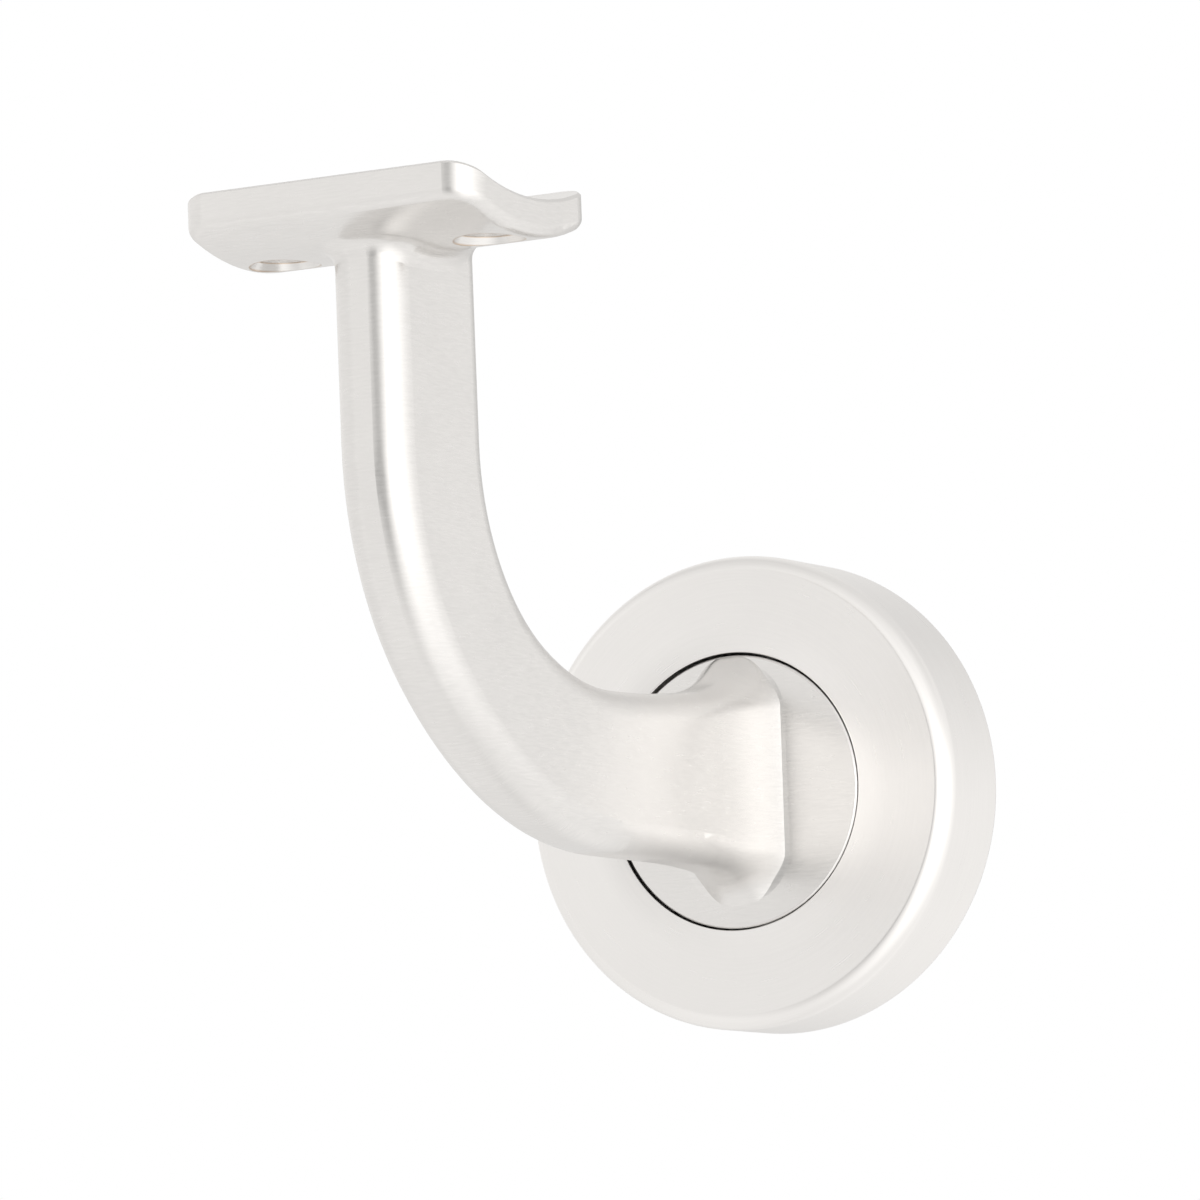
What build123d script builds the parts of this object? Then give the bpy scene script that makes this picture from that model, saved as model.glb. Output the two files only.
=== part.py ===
from build123d import *
from math import radians, sin, sqrt
import os

# Wall-mounted handrail bracket, in millimetres.
# The wall is the plane Y = 0 and the bracket stands out of it along -Y.
# X runs along the wall and the rail, Z is up.
# The origin is the centre of the rose on the wall.

# Cover rose
ROSE_D = 50.0
ROSE_T = 11.2
ROSE_WALL = 1.5
ROSE_EDGE_R = 1.6
ROSE_HOLE_CHAMFER = 0.3
ROSE_FIT = 0.05

# Hub and wall flange of the casting
HUB_GAP = 0.5
HUB_LAND = 0.5
HUB_CHAMFER = 0.2
FLANGE_T = 4.0
WALL_SCREW_COUNT = 3
WALL_SCREW_START = 30.0
WALL_SCREW_D = 4.5

# Saddle under the rail
PROJECTION = 79.4
SADDLE_L = 33.3
SADDLE_W = 24.4
SADDLE_T = 3.8
SADDLE_UNDER_R = 29.0
SADDLE_CORNER_R = 3.1
SADDLE_LOW_EDGE_R = 1.2
SADDLE_TOP_CHAMFER = 0.3
RAIL_SEAT_R = 31.0
RAIL_SEAT_Z = 52.8
RAIL_SCREW_D = 6.2
RAIL_SCREW_SINK_W = 0.5
RAIL_SCREW_SINK_ANGLE = 60.0
RAIL_SCREW_LAND = 1.35

# Arm: section, depths in the side view, bends of two arcs each, and flares towards the hub
ARM_W = 7.9
ARM_CORNER_R = 3.0
ARM_MIN_FLAT = 0.1
ARM_SETBACK = 6.6
ARM_ROOT_DEPTH = 16.8
ARM_ROOT_Z = 0.1
OUTER_BEND_R1 = 33.9
OUTER_BEND_R2 = 48.8
OUTER_BEND_SPLIT = 44.9
INNER_BEND_R1 = 21.0
INNER_BEND_R2 = 32.5
INNER_BEND_SPLIT = 62.3
FLARE_LOW_LENGTH = 17.5
FLARE_LOW_RISE = 1.4
FLARE_TOP_RISE = 3.1
ROOT_FILLET_R = 2.3
HEAD_FILLET_R = 2.0
HEAD_PAD_MARGIN = 0.1

# Heights and depths of the arm
arm_top_z = ARM_ROOT_Z + ARM_ROOT_DEPTH / 2
arm_low_z = ARM_ROOT_Z - ARM_ROOT_DEPTH / 2
root_top_z = arm_top_z + FLARE_TOP_RISE
root_low_z = arm_low_z - FLARE_LOW_RISE
arm_corner_r = min(ARM_CORNER_R, (1 - ARM_MIN_FLAT) * ARM_W / 2)

# The hub carries the arm's root, its fillet and a narrow land; the rose is open round it
hub_r = max(root_top_z, -root_low_z) + ROOT_FILLET_R + HUB_LAND
rose_hole_r = hub_r + HUB_GAP
rose_r = ROSE_D / 2
rose_inner_r = rose_r - ROSE_WALL
flange_r = rose_inner_r - ROSE_FIT
wall_screw_ring_r = (hub_r + flange_r) / 2

# Saddle
under_z = RAIL_SEAT_Z - SADDLE_T
middle_z = RAIL_SEAT_Z - SADDLE_T / 2
front_y = -PROJECTION - SADDLE_W / 2
back_y = -PROJECTION + SADDLE_W / 2
arm_out_y = front_y + ARM_SETBACK
rail_screw_r = RAIL_SCREW_D / 2
rail_screw_sink_r = rail_screw_r + RAIL_SCREW_SINK_W
rail_screw_spacing = SADDLE_L - 2 * (RAIL_SCREW_LAND + rail_screw_sink_r)

# Pad under the saddle that carries the head fillet
pad_reach = HEAD_FILLET_R + HEAD_PAD_MARGIN
pad_half_x = ARM_W / 2 + pad_reach
pad_cut_z = RAIL_SEAT_Z + SADDLE_W / 2

os.makedirs("parts", exist_ok=True)


def bend_height(r1, r2, split):
    # height of a bend of two tangent arcs that turns from upright to level
    return r1 * sin(radians(split)) + r2 * (1 - sin(radians(split)))


def saddle_arc(radius, low_z, y_start, y_end):
    # arc in the side view, at its lowest under the middle of the rail
    centre_z = low_z + radius
    stations = (y_start, (y_start + y_end) / 2, y_end)
    return ThreePointArc(*[(y, centre_z - sqrt(radius**2 - (y + PROJECTION) ** 2)) for y in stations])


def saddle_band(top_z, y_start, y_end):
    # band from the underside up to the rail's curve at a given height, cut off upright at both ends
    top = saddle_arc(RAIL_SEAT_R, top_z, y_start, y_end)
    under = saddle_arc(SADDLE_UNDER_R, under_z, y_start, y_end)
    Line(top @ 0, under @ 0)
    Line(top @ 1, under @ 1)


# Saddle: the rail's trough above, a round underside, rounded corners, two screw holes from below
with BuildPart() as saddle:
    with BuildSketch(Plane.YZ):
        with BuildLine():
            saddle_band(RAIL_SEAT_Z, front_y, back_y)
        make_face()
    extrude(amount=SADDLE_L / 2, both=True)
    fillet(edges().filter_by(Axis.Z), radius=SADDLE_CORNER_R)
    broad_faces = faces().filter_by(GeomType.CYLINDER).sort_by(lambda face: face.radius)[-2:]
    fillet(broad_faces.sort_by(Axis.Z)[0].edges(), radius=SADDLE_LOW_EDGE_R)
    broad_faces = faces().filter_by(GeomType.CYLINDER).sort_by(lambda face: face.radius)[-2:]
    chamfer(broad_faces.sort_by(Axis.Z)[1].edges(), length=SADDLE_TOP_CHAMFER)
    with Locations(Plane((0, -PROJECTION, under_z), x_dir=(1, 0, 0), z_dir=(0, 0, -1))):
        with GridLocations(rail_screw_spacing, 0, 2, 1):
            CounterSinkHole(
                rail_screw_r, rail_screw_sink_r, counter_sink_angle=RAIL_SCREW_SINK_ANGLE
            )

# Arm: its side outline in the plane of symmetry, extruded both ways and rounded lengthwise
with BuildPart() as arm:
    with BuildSketch(Plane.YZ):
        with BuildLine():
            outer_bend_z = arm_low_z + bend_height(OUTER_BEND_R1, OUTER_BEND_R2, OUTER_BEND_SPLIT)
            inner_bend_z = arm_top_z + bend_height(INNER_BEND_R1, INNER_BEND_R2, INNER_BEND_SPLIT)
            head = saddle_arc(RAIL_SEAT_R, middle_z, arm_out_y, back_y)

            front = Line(head @ 0, (arm_out_y, outer_bend_z))
            front_bend = JernArc(front @ 1, front % 1, OUTER_BEND_R1, OUTER_BEND_SPLIT)
            low_bend = JernArc(front_bend @ 1, front_bend % 1, OUTER_BEND_R2, 90 - OUTER_BEND_SPLIT)
            low_run = Line(low_bend @ 1, (-ROSE_T - FLARE_LOW_LENGTH, arm_low_z))
            low_flare = TangentArc(low_run @ 1, (-ROSE_T, root_low_z), tangent=low_run % 1)

            back = Line(head @ 1, (back_y, inner_bend_z))
            back_bend = JernArc(back @ 1, back % 1, INNER_BEND_R1, INNER_BEND_SPLIT)
            top_bend = JernArc(back_bend @ 1, back_bend % 1, INNER_BEND_R2, 90 - INNER_BEND_SPLIT)
            top_flare = TangentArc(top_bend @ 1, (-ROSE_T, root_top_z), tangent=top_bend % 1)

            Line(low_flare @ 1, top_flare @ 1)
        make_face()
    extrude(amount=ARM_W / 2, both=True)
    ends = edges().group_by(Axis.Y)[-1] + edges().filter_by(GeomType.CIRCLE).sort_by(Axis.Z)[-2:]
    sides = edges().group_by(Axis.X)[0] + edges().group_by(Axis.X)[-1]
    fillet(sides - ends, radius=arm_corner_r)

    # the pad runs on behind the arm, so that the fillet goes all round, and is then cut off at the back
    with BuildSketch(Plane.YZ):
        with BuildLine():
            saddle_band(middle_z, arm_out_y - pad_reach, back_y + pad_reach)
        make_face()
    extrude(amount=pad_half_x, both=True)
    pad_face = faces().filter_by(GeomType.CYLINDER).filter_by(lambda face: len(face.inner_wires()) > 0)[0]
    fillet(pad_face.inner_wires()[0].edges(), radius=HEAD_FILLET_R)
    with BuildSketch(Plane.YZ):
        with Locations((back_y, inner_bend_z)):
            Rectangle(pad_reach, pad_cut_z - inner_bend_z, align=(Align.MIN, Align.MIN))
    extrude(amount=pad_half_x, both=True, mode=Mode.SUBTRACT)

# Casting: wall flange with three screw holes, hub, arm and saddle in one piece
with BuildPart() as bracket_casting:
    with BuildSketch(Plane.XZ):
        Circle(flange_r)
    extrude(amount=FLANGE_T)
    with Locations(Plane.XZ.offset(FLANGE_T)):
        with PolarLocations(wall_screw_ring_r, WALL_SCREW_COUNT, start_angle=WALL_SCREW_START):
            Hole(WALL_SCREW_D / 2)
    with BuildSketch(Plane.XZ):
        Circle(hub_r)
    extrude(amount=ROSE_T)
    chamfer(faces().sort_by(Axis.Y)[0].edges(), length=HUB_CHAMFER)
    add(arm.part)
    hub_face = faces().filter_by(Plane.XZ).sort_by(lambda face: abs(face.center().Y + ROSE_T))[0]
    fillet(hub_face.inner_wires()[0].edges(), radius=ROOT_FILLET_R)
    add(saddle.part)

bracket_casting.part.label = "bracket_casting"
export_step(bracket_casting.part, "parts/bracket_casting.step")

# Cover rose: a cap pushed over the flange, its face open round the hub
with BuildPart() as cover_rose:
    with BuildSketch(Plane.XZ):
        Circle(rose_r)
    extrude(amount=ROSE_T)
    fillet(faces().sort_by(Axis.Y)[0].edges(), radius=ROSE_EDGE_R)
    with BuildSketch(Plane.XZ):
        Circle(rose_inner_r)
    extrude(amount=ROSE_T - ROSE_WALL, mode=Mode.SUBTRACT)
    with BuildSketch(Plane.XZ.offset(ROSE_T)):
        Circle(rose_hole_r)
    extrude(amount=-ROSE_WALL, mode=Mode.SUBTRACT)
    chamfer(faces().sort_by(Axis.Y)[0].inner_wires()[0].edges(), length=ROSE_HOLE_CHAMFER)

cover_rose.part.label = "cover_rose"
export_step(cover_rose.part, "parts/cover_rose.step")
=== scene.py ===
import math

import bpy
from mathutils import Matrix, Vector


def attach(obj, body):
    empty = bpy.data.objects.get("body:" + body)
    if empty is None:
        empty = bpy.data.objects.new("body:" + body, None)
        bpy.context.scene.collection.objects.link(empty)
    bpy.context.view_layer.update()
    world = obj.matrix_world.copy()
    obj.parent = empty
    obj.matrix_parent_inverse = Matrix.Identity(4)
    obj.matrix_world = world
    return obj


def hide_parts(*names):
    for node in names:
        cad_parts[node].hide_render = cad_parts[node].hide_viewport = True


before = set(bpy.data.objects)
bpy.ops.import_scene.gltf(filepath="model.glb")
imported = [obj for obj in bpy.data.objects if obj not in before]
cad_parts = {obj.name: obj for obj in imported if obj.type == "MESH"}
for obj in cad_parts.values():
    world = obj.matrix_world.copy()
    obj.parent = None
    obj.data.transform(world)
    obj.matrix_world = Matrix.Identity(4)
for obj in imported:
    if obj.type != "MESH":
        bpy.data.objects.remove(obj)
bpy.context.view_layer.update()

# All lengths are in metres and all angles in degrees, apart from the camera's lens and sensor in millimetres

# Camera: where it stands round the bracket
CAMERA_AZIMUTH = 28.95
CAMERA_ELEVATION = -6.64
CAMERA_ROLL = -2.28
CAMERA_DISTANCE = 0.85596
CAMERA_TARGET = Vector((-0.00445, -0.03077, 0.01908))
CAMERA_LENS = 248.16
CAMERA_SENSOR = 36.0
CAMERA_CLIP = (0.01, 50.0)

# Satin metal: colour, how far its tone and roughness vary, and the softness of its edges
CASTING_COLOUR = (0.80, 0.788, 0.775)
CASTING_TONES = 0.08
CASTING_ROUGHNESS = 0.25
ROSE_COLOUR = (0.91, 0.896, 0.882)
ROSE_TONES = 0.035
ROSE_ROUGHNESS = 0.3
ROUGHNESS_RANGE = 0.12
EDGE_SOFTNESS = 0.00012
EDGE_SAMPLES = 6

# Brushing and turning marks: how many to the metre along and across them, and their depth
BRUSH_ALONG = 600.0
BRUSH_ACROSS = 4500.0
BRUSH_DEPTH = 0.000004
BRUSH_STRENGTH = 0.5
BRUSH_TURNS_LEVEL = (0.6, 0.8)
MARK_DETAIL = 2.0
MARK_ROUGHNESS = 0.6
MOTTLE = 160.0
MOTTLE_CONTRAST = 0.35
TURNING_RADIUS = 0.02
TURNING_ALONG = 160.0
TURNING_SPREAD = 0.2

# Arm's section at its root and its flares in the side view (length, rise), as in the part's source
HUB_FACE_Y = -0.0112
ARM_HALF_W = 0.00395
ARM_CORNER_R = 0.003
ARM_TOP_Z = 0.0085
ARM_LOW_Z = -0.0083
TOP_FLARE = (0.0297, 0.0031)
LOW_FLARE = (0.0175, 0.0014)
CORNER_STEPS = 12
SIDE_STEPS = 10

# Soft flare laid over the plain root fillet: reach along the arm, spread at the hub, and how late it opens.
# It lies a little over the casting and dives into it at its far end.
SIDE_SPREAD = (0.012, 0.0018, 4.0)
SIDE_SPREAD_TAPER = 4.0
TOP_SPREAD = (0.012, 0.0026, 2.8)
LOW_SPREAD = (0.008, 0.0023, 4.0)
SPREAD_AT_CORNERS = 3
FLARE_LIFT = 0.000015
FLARE_DIVE = (0.00006, 6)
FLARE_RINGS = 36
FLARE_RING_POWER = 1.5

# Rose: a round rim behind a shallow crease, and a hole that leaves a narrow gap, widest at the upper left
ROSE_R = 0.025
ROSE_INNER_R = 0.0235
ROSE_WALL = 0.0015
CREASE_R = 0.0235
CREASE_ANGLE = 15
CREASE_WIDTH = 0.00004
RIM_STEPS = 24
HUB_R = 0.0144
LIP_GAP = 0.00022
LIP_GAP_SHIFT = 0.00012
LIP_GAP_TURN = 30
LIP_EDGE_R = 0.00015
LIP_STEPS = 6
EDGE_RING = 0.0003
SKIRT_RING_Y = -0.004
FACE_RINGS = (0.021, 0.018)
TURNS = 256
SHARP_ANGLE = 35

# Rail screw holes: place, their two edges, the brown line of painted shade along these, and the bore painted
# bright as painted light
HOLE_X = 0.0117
HOLE_Y = -0.0794
HOLE_R = 0.0031
HOLE_EDGE_Z = 0.04987
SINK_R = 0.00357
HOLE_LINE = 0.00011
HOLE_PAINTED_SHADE = (0.74, 0.60, 0.48)
BORE_PAINTED_LIGHT = (0.95, 0.94, 0.93, 1.0)
BORE_MARGIN = 0.00003

# Studio, seen from the bracket: for each height, brightness every 15 degrees round from the back
STUDIO_BELOW = 0.95
STUDIO_ABOVE = 0.75
STUDIO = (
    (-60, (0.96, 0.93, 0.88, 0.92, 0.98, 0.97, 0.97, 1.00, 1.00, 1.00, 0.96, 0.98,
           1.05, 1.10, 1.18, 1.22, 1.18, 1.12, 1.08, 1.04, 1.02, 1.02, 1.04, 1.00)),
    (-40, (1.06, 1.00, 0.92, 0.95, 1.00, 0.97, 0.98, 1.00, 1.00, 1.06, 0.98, 0.82,
           0.92, 1.12, 1.25, 1.38, 1.38, 1.32, 1.24, 1.14, 1.06, 1.04, 1.05, 1.06)),
    (-22, (0.92, 0.90, 0.86, 0.86, 0.90, 0.91, 0.93, 0.94, 0.94, 0.98, 1.02, 0.64,
           0.62, 1.08, 1.38, 1.50, 1.44, 1.36, 1.32, 1.26, 1.14, 1.06, 1.03, 1.00)),
    (-6, (0.64, 0.72, 0.85, 0.91, 0.94, 0.93, 0.93, 0.94, 0.93, 0.94, 1.07, 0.54,
          0.52, 1.14, 1.70, 1.92, 1.78, 1.52, 1.40, 1.28, 1.14, 1.07, 1.03, 0.80)),
    (8, (0.66, 0.72, 0.88, 0.96, 0.98, 0.97, 0.94, 0.93, 0.92, 0.92, 1.11, 0.52,
         0.52, 1.02, 1.54, 1.78, 1.88, 1.60, 1.42, 1.26, 1.12, 1.04, 0.97, 0.80)),
    (22, (0.70, 0.76, 0.93, 0.96, 0.92, 0.90, 0.97, 1.08, 1.04, 0.92, 0.96, 0.95,
          1.05, 1.18, 1.16, 1.16, 1.16, 1.05, 1.03, 0.97, 0.96, 0.97, 0.92, 0.80)),
    (45, (0.82, 0.88, 0.92, 0.86, 0.78, 0.72, 0.78, 0.85, 0.84, 0.84, 0.90, 0.95,
          0.97, 0.95, 0.94, 0.98, 1.02, 0.96, 0.91, 0.83, 0.80, 0.82, 0.83, 0.80)),
)
STUDIO_COLOUR = (1.0, 0.988, 0.972, 1.0)
WHITE = (1.0, 1.0, 1.0, 1.0)

# Floor
FLOOR_Z = -0.16
FLOOR_SIZE = 6.0
FLOOR_COLOUR = (0.88, 0.88, 0.87, 1.0)
FLOOR_ROUGHNESS = 0.9
FLOOR_SPECULAR = 0.1


class Tree:
    """Short ways to add and join nodes."""

    def __init__(self, tree):
        self.tree = tree

    def add(self, kind, **values):
        node = self.tree.nodes.new(kind)
        for name, value in values.items():
            setattr(node, name, value)
        return node

    def put(self, value, socket):
        if isinstance(value, bpy.types.NodeSocket):
            self.tree.links.new(value, socket)
        else:
            socket.default_value = value

    def math(self, operation, *values):
        node = self.add("ShaderNodeMath", operation=operation)
        for value, socket in zip(values, node.inputs):
            self.put(value, socket)
        return node.outputs[0]

    def parts(self, vector):
        node = self.add("ShaderNodeSeparateXYZ")
        self.put(vector, node.inputs[0])
        return tuple(node.outputs)

    def join(self, *values):
        node = self.add("ShaderNodeCombineXYZ")
        for value, socket in zip(values, node.inputs):
            self.put(value, socket)
        return node.outputs[0]

    def length(self, first, second):
        squares = self.math("MULTIPLY_ADD", second, second, self.math("MULTIPLY", first, first))
        return self.math("SQRT", squares)

    def distance(self, first, second):
        return self.math("ABSOLUTE", self.math("SUBTRACT", first, second))

    def marks(self, place, counts):
        """Noise drawn out along one direction: how many marks to the metre each way."""
        stretch = self.add("ShaderNodeMapping")
        stretch.inputs["Scale"].default_value = counts
        self.put(place, stretch.inputs["Vector"])
        noise = self.add("ShaderNodeTexNoise")
        noise.inputs["Scale"].default_value = 1.0
        noise.inputs["Detail"].default_value = MARK_DETAIL
        noise.inputs["Roughness"].default_value = MARK_ROUGHNESS
        self.put(stretch.outputs[0], noise.inputs["Vector"])
        return noise.outputs["Fac"]

    def ramp(self, value, stops):
        node = self.add("ShaderNodeValToRGB")
        elements = node.color_ramp.elements
        while len(elements) < len(stops):
            elements.new(1.0)
        for element, (place, level) in zip(elements, stops):
            element.position = place
            element.color = (level, level, level, 1.0)
        self.put(value, node.inputs["Fac"])
        return node.outputs["Color"]

    def between(self, value, low, high):
        node = self.add("ShaderNodeMapRange")
        self.put(value, node.inputs["Value"])
        node.inputs["From Min"].default_value = low
        node.inputs["From Max"].default_value = high
        return node.outputs["Result"]

    def blend(self, factor, first, second):
        node = self.add("ShaderNodeMix", data_type="FLOAT")
        self.put(factor, node.inputs[0])
        self.put(first, node.inputs[2])
        self.put(second, node.inputs[3])
        return node.outputs[0]

    def mix_colour(self, factor, first, second):
        node = self.add("ShaderNodeMix", data_type="RGBA")
        self.put(factor, node.inputs["Factor"])
        self.put(first, node.inputs[6])
        self.put(second, node.inputs[7])
        return node.outputs[2]


def make_camera():
    azimuth, elevation, roll = (math.radians(a) for a in (CAMERA_AZIMUTH, CAMERA_ELEVATION, CAMERA_ROLL))
    back = Vector(
        (math.sin(azimuth) * math.cos(elevation), -math.cos(azimuth) * math.cos(elevation), math.sin(elevation))
    )
    level_right = (-back).cross(Vector((0, 0, 1))).normalized()
    level_up = level_right.cross(-back)
    right = math.cos(roll) * level_right + math.sin(roll) * level_up
    up = -math.sin(roll) * level_right + math.cos(roll) * level_up
    data = bpy.data.cameras.new("camera")
    data.lens = CAMERA_LENS
    data.sensor_width = CAMERA_SENSOR
    data.clip_start, data.clip_end = CAMERA_CLIP
    camera = bpy.data.objects.new("camera", data)
    bpy.context.scene.collection.objects.link(camera)
    camera.matrix_world = Matrix.Translation(CAMERA_TARGET + back * CAMERA_DISTANCE) @ Matrix(
        (right, up, back)
    ).transposed().to_4x4()
    bpy.context.scene.camera = camera


def scaled(colour, factors):
    return tuple(c * f for c, f in zip(colour, factors)) + (1.0,)


def holes_with_painted_light_and_shade(tree, place, surface, colour):
    """Bores painted bright as painted light, and a brown line of painted shade along both edges of the rail
    screw holes.
    """
    x, y, z = tree.parts(place)
    from_hole_x = tree.math("SUBTRACT", tree.math("ABSOLUTE", x), HOLE_X)
    from_hole = tree.length(from_hole_x, tree.math("SUBTRACT", y, HOLE_Y))
    off_inner = tree.length(tree.math("SUBTRACT", from_hole, HOLE_R), tree.math("SUBTRACT", z, HOLE_EDGE_Z))
    off_outer = tree.distance(from_hole, SINK_R)
    # Painted shade: a brown line along both hole edges stands in for the shade at the rims
    painted_shade_line = tree.between(tree.math("MINIMUM", off_inner, off_outer), HOLE_LINE, 0.0)
    in_bore = tree.math("LESS_THAN", from_hole, HOLE_R + BORE_MARGIN)
    # Painted light: the bore is coloured near white to stand in for light inside the hole
    surface = tree.mix_colour(in_bore, surface, BORE_PAINTED_LIGHT)
    return tree.mix_colour(painted_shade_line, surface, scaled(colour, HOLE_PAINTED_SHADE))


def satin_metal(name, colour, tones, roughness, turned):
    """Satin metal: brushed level on the casting, turned round the Y axis on the rose."""
    material = bpy.data.materials.new(name)
    material.use_nodes = True
    tree = Tree(material.node_tree)
    shader = material.node_tree.nodes["Principled BSDF"]
    shader.inputs["Metallic"].default_value = 1.0

    place = tree.add("ShaderNodeTexCoord").outputs["Object"]
    if turned:
        x, y, z = tree.parts(place)
        radius = tree.length(x, z)
        turn = tree.math("MULTIPLY", tree.math("ARCTAN2", z, x), TURNING_RADIUS)
        brushed = tree.marks(tree.join(turn, y, radius), (TURNING_ALONG, BRUSH_ACROSS, BRUSH_ACROSS))
        tangent = tree.add("ShaderNodeTangent", direction_type="RADIAL", axis="Y")
        tree.put(tangent.outputs[0], shader.inputs["Tangent"])
        shader.inputs["Anisotropic"].default_value = TURNING_SPREAD
    else:
        facing = tree.parts(tree.add("ShaderNodeNewGeometry").outputs["True Normal"])
        upward = tree.between(tree.math("ABSOLUTE", facing[2]), *BRUSH_TURNS_LEVEL)
        upright = tree.marks(place, (BRUSH_ALONG, BRUSH_ALONG, BRUSH_ACROSS))
        level = tree.marks(place, (BRUSH_ALONG, BRUSH_ACROSS, BRUSH_ALONG))
        brushed = tree.blend(upward, upright, level)
    mottle = tree.marks(place, (MOTTLE, MOTTLE, MOTTLE))

    tone = tree.math("MULTIPLY_ADD", mottle, MOTTLE_CONTRAST, brushed)
    tone = tree.math("SUBTRACT", tone, 0.5 * MOTTLE_CONTRAST)
    surface = tree.mix_colour(tone, scaled(colour, [1 - tones] * 3), scaled(colour, [1 + tones] * 3))
    if not turned:
        surface = holes_with_painted_light_and_shade(tree, place, surface, colour)
    tree.put(surface, shader.inputs["Base Color"])
    least = roughness - ROUGHNESS_RANGE / 2
    tree.put(tree.math("MULTIPLY_ADD", brushed, ROUGHNESS_RANGE, least), shader.inputs["Roughness"])

    edge = tree.add("ShaderNodeBevel", samples=EDGE_SAMPLES)
    edge.inputs["Radius"].default_value = EDGE_SOFTNESS
    bump = tree.add("ShaderNodeBump")
    bump.inputs["Strength"].default_value = BRUSH_STRENGTH
    bump.inputs["Distance"].default_value = BRUSH_DEPTH
    tree.put(brushed, bump.inputs["Height"])
    tree.put(edge.outputs[0], bump.inputs["Normal"])
    tree.put(bump.outputs[0], shader.inputs["Normal"])
    return material


def dress(node, material):
    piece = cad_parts[node]
    piece.data.materials.clear()
    piece.data.materials.append(material)


def new_piece(name, points, faces, material):
    mesh = bpy.data.meshes.new(name)
    mesh.from_pydata(points, [], faces)
    mesh.shade_smooth()
    mesh.materials.append(material)
    piece = bpy.data.objects.new(name, mesh)
    bpy.context.scene.collection.objects.link(piece)
    return piece


def band_faces(rings, count, closed=False):
    """Quads between rings of count points each, from the last ring back to the first where closed."""
    faces = []
    for i in range(rings if closed else rings - 1):
        start, end = i * count, (i + 1) % rings * count
        for j in range(count):
            k = (j + 1) % count
            faces.append((start + j, start + k, end + k, end + j))
    return faces


def flare_height(distance, length, rise):
    """Rise of a tangent arc that starts a length away from the hub."""
    radius = (length**2 + rise**2) / (2 * rise)
    return radius - math.sqrt(radius**2 - (length - distance) ** 2)


def spread(distance, reach, width, power):
    return width * max(0.0, 1 - distance / reach) ** power


def arm_section(top_z, low_z):
    """Points round the arm's section, each with the direction in which its surface faces."""
    inner_x = ARM_HALF_W - ARM_CORNER_R
    inner_top_z = top_z - ARM_CORNER_R
    inner_low_z = low_z + ARM_CORNER_R
    corners = (
        (inner_x, inner_top_z, 0),
        (-inner_x, inner_top_z, 90),
        (-inner_x, inner_low_z, 180),
        (inner_x, inner_low_z, 270),
    )
    points = []
    for x, z, start in corners:
        for step in range(CORNER_STEPS + 1):
            turn = math.radians(start + 90 * step / CORNER_STEPS)
            facing = (math.cos(turn), math.sin(turn))
            points.append((x + ARM_CORNER_R * facing[0], z + ARM_CORNER_R * facing[1], facing))
        if start in (90, 270):
            side_x, _, facing = points[-1]
            end_z = inner_low_z if start == 90 else inner_top_z
            for step in range(1, SIDE_STEPS):
                points.append((side_x, z + (end_z - z) * step / SIDE_STEPS, facing))
    return points


def root_flare(material):
    reach = SIDE_SPREAD[0]
    dive, dive_power = FLARE_DIVE
    points = []
    for ring in range(FLARE_RINGS + 1):
        distance = reach * (ring / FLARE_RINGS) ** FLARE_RING_POWER
        lift = FLARE_LIFT - dive * (distance / reach) ** dive_power
        top_z = ARM_TOP_Z + flare_height(distance, *TOP_FLARE)
        low_z = ARM_LOW_Z - flare_height(distance, *LOW_FLARE)
        section = arm_section(top_z, low_z)
        for x, z, (face_x, face_z) in section:
            ends = spread(distance, *TOP_SPREAD) if face_z > 0 else spread(distance, *LOW_SPREAD)
            sides = spread(distance, *SIDE_SPREAD) * (1 + SIDE_SPREAD_TAPER * z)
            out = sides * abs(face_x) ** SPREAD_AT_CORNERS + ends * abs(face_z) ** SPREAD_AT_CORNERS + lift
            points.append((x + out * face_x, HUB_FACE_Y - distance, z + out * face_z))
    piece = new_piece("root_flare", points, band_faces(FLARE_RINGS + 1, len(section)), material)
    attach(piece, "root")


def hole_radius(turn):
    return HUB_R + LIP_GAP - LIP_GAP_SHIFT * math.cos(turn + math.radians(LIP_GAP_TURN))


def rose_profile():
    """Rows of radius, Y, and 1 where the radius is counted from the edge of the hole."""
    crease = math.radians(CREASE_ANGLE)
    rim_r = (ROSE_R - CREASE_R) / (1 - math.sin(crease))
    rim_y = HUB_FACE_Y + rim_r * math.cos(crease)
    inner_y = HUB_FACE_Y + ROSE_WALL
    rows = [(ROSE_R, y, 0) for y in (0.0, -EDGE_RING, SKIRT_RING_Y, rim_y + EDGE_RING)]
    for step in range(RIM_STEPS + 1):
        turn = math.radians(90 + (CREASE_ANGLE - 90) * step / RIM_STEPS)
        rows.append((ROSE_R - rim_r + rim_r * math.sin(turn), rim_y - rim_r * math.cos(turn), 0))
    rows += [(radius, HUB_FACE_Y, 0) for radius in (CREASE_R - CREASE_WIDTH, *FACE_RINGS)]
    for step in range(LIP_STEPS + 1):
        turn = math.radians(90 * step / LIP_STEPS)
        rows.append((LIP_EDGE_R * (1 - math.sin(turn)), HUB_FACE_Y + LIP_EDGE_R * (1 - math.cos(turn)), 1))
    return rows + [(0.0, inner_y, 1), (ROSE_INNER_R, inner_y, 0), (ROSE_INNER_R, 0.0, 0)]


def rose_cap(material):
    rows = rose_profile()
    points = []
    for radius, y, on_lip in rows:
        for j in range(TURNS):
            turn = 2 * math.pi * j / TURNS
            reach = radius + on_lip * hole_radius(turn)
            points.append((reach * math.cos(turn), y, reach * math.sin(turn)))
    piece = new_piece("rose_cap", points, band_faces(len(rows), TURNS, closed=True), material)
    piece.data.set_sharp_from_angle(angle=math.radians(SHARP_ANGLE))
    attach(piece, "root")
    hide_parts("cover_rose")


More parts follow.
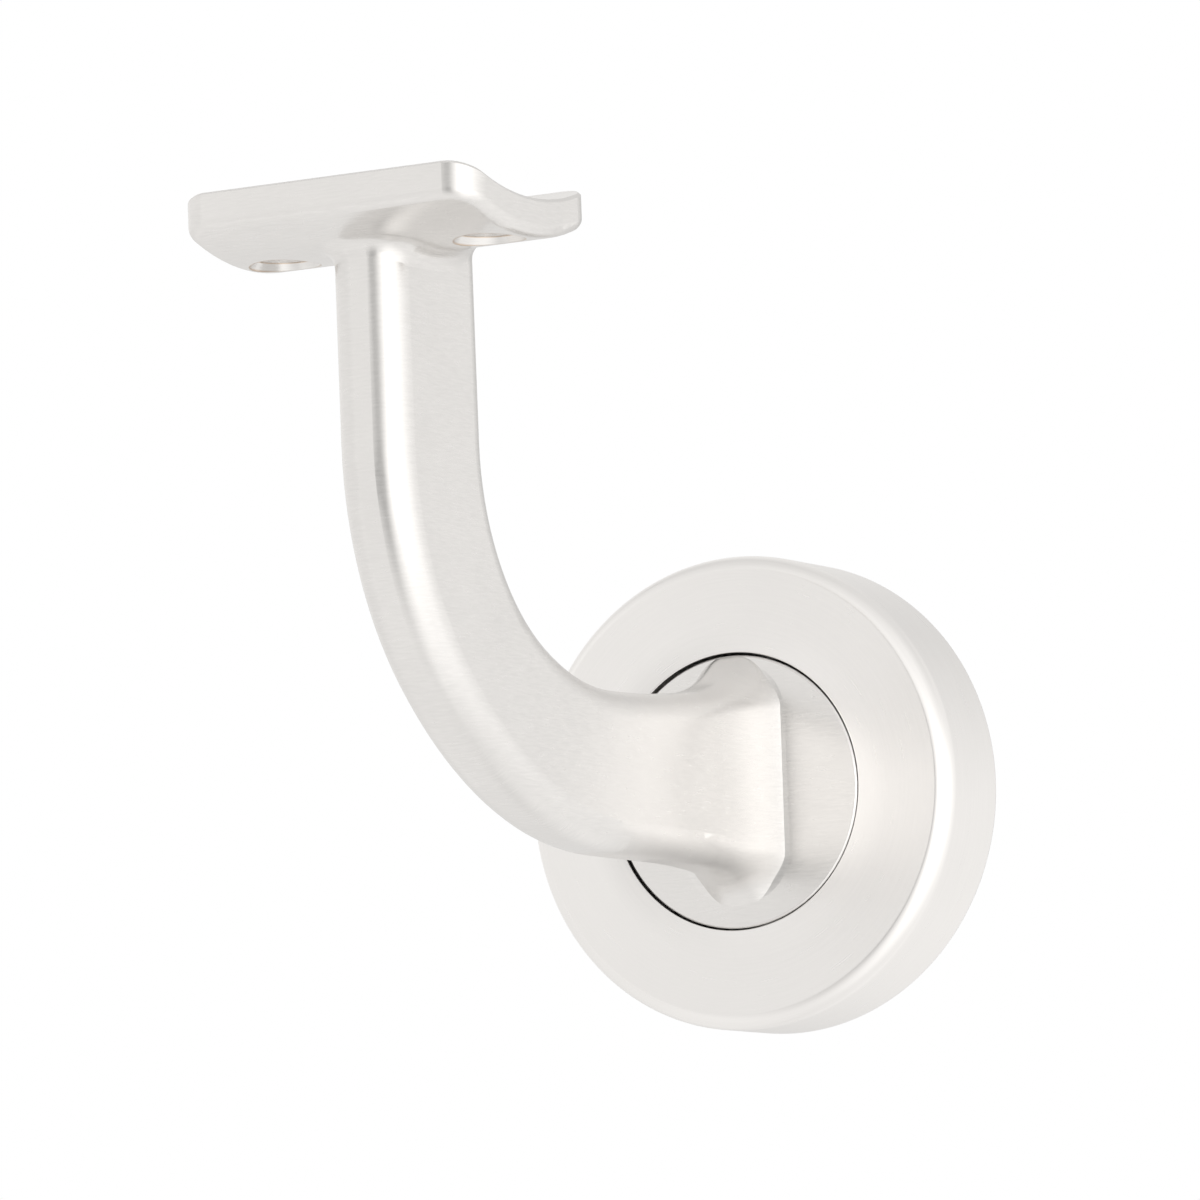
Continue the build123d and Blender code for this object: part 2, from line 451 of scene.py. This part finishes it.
def make_world():
    """Studio light from all round, and plain white where the camera looks past the bracket."""
    world = bpy.data.worlds.new("studio")
    world.use_nodes = True
    tree = Tree(world.node_tree)
    background = world.node_tree.nodes["Background"]
    x, y, z = tree.parts(tree.add("ShaderNodeTexCoord").outputs["Generated"])
    azimuth = tree.math("ARCTAN2", x, tree.math("MULTIPLY", y, -1.0))
    azimuth = tree.math("MULTIPLY_ADD", azimuth, 0.5 / math.pi, 0.5)
    height = tree.math("MULTIPLY", tree.math("ARCSINE", z), 180 / math.pi)
    light = STUDIO_BELOW
    last_height = -90
    for row_height, levels in STUDIO + ((90, (STUDIO_ABOVE,)),):
        around = tree.ramp(azimuth, [(i / len(levels), level) for i, level in enumerate(levels + levels[:1])])
        light = tree.blend(tree.between(height, last_height, row_height), light, around)
        last_height = row_height

    seen = tree.add("ShaderNodeLightPath").outputs["Is Camera Ray"]
    strength = tree.math("ADD", tree.math("MULTIPLY", light, tree.math("SUBTRACT", 1.0, seen)), seen)
    tree.put(tree.mix_colour(seen, STUDIO_COLOUR, WHITE), background.inputs["Color"])
    tree.put(strength, background.inputs["Strength"])
    bpy.context.scene.world = world


def make_floor():
    """Pale floor, left out where it is looked at from below."""
    half = FLOOR_SIZE / 2
    mesh = bpy.data.meshes.new("floor")
    corners = [(-half, -half, 0), (half, -half, 0), (half, half, 0), (-half, half, 0)]
    mesh.from_pydata(corners, [], [(0, 1, 2, 3)])
    floor = bpy.data.objects.new("floor", mesh)
    floor.location.z = FLOOR_Z
    bpy.context.scene.collection.objects.link(floor)
    material = bpy.data.materials.new("pale_floor")
    material.use_nodes = True
    tree = Tree(material.node_tree)
    shader = material.node_tree.nodes["Principled BSDF"]
    shader.inputs["Base Color"].default_value = FLOOR_COLOUR
    shader.inputs["Roughness"].default_value = FLOOR_ROUGHNESS
    shader.inputs["Specular IOR Level"].default_value = FLOOR_SPECULAR
    mesh.materials.append(material)
    hidden = tree.add("ShaderNodeBsdfTransparent")
    from_below = tree.add("ShaderNodeNewGeometry").outputs["Backfacing"]
    surface = tree.add("ShaderNodeMixShader")
    tree.put(from_below, surface.inputs[0])
    tree.put(shader.outputs[0], surface.inputs[1])
    tree.put(hidden.outputs[0], surface.inputs[2])
    tree.put(surface.outputs[0], material.node_tree.nodes["Material Output"].inputs["Surface"])
    floor.visible_glossy = False


make_camera()
make_world()
make_floor()
casting_metal = satin_metal("satin_casting", CASTING_COLOUR, CASTING_TONES, CASTING_ROUGHNESS, turned=False)
rose_metal = satin_metal("satin_rose", ROSE_COLOUR, ROSE_TONES, ROSE_ROUGHNESS, turned=True)
dress("bracket_casting", casting_metal)
dress("cover_rose", rose_metal)
root_flare(casting_metal)
rose_cap(rose_metal)

bpy.context.scene.view_settings.view_transform = "Standard"
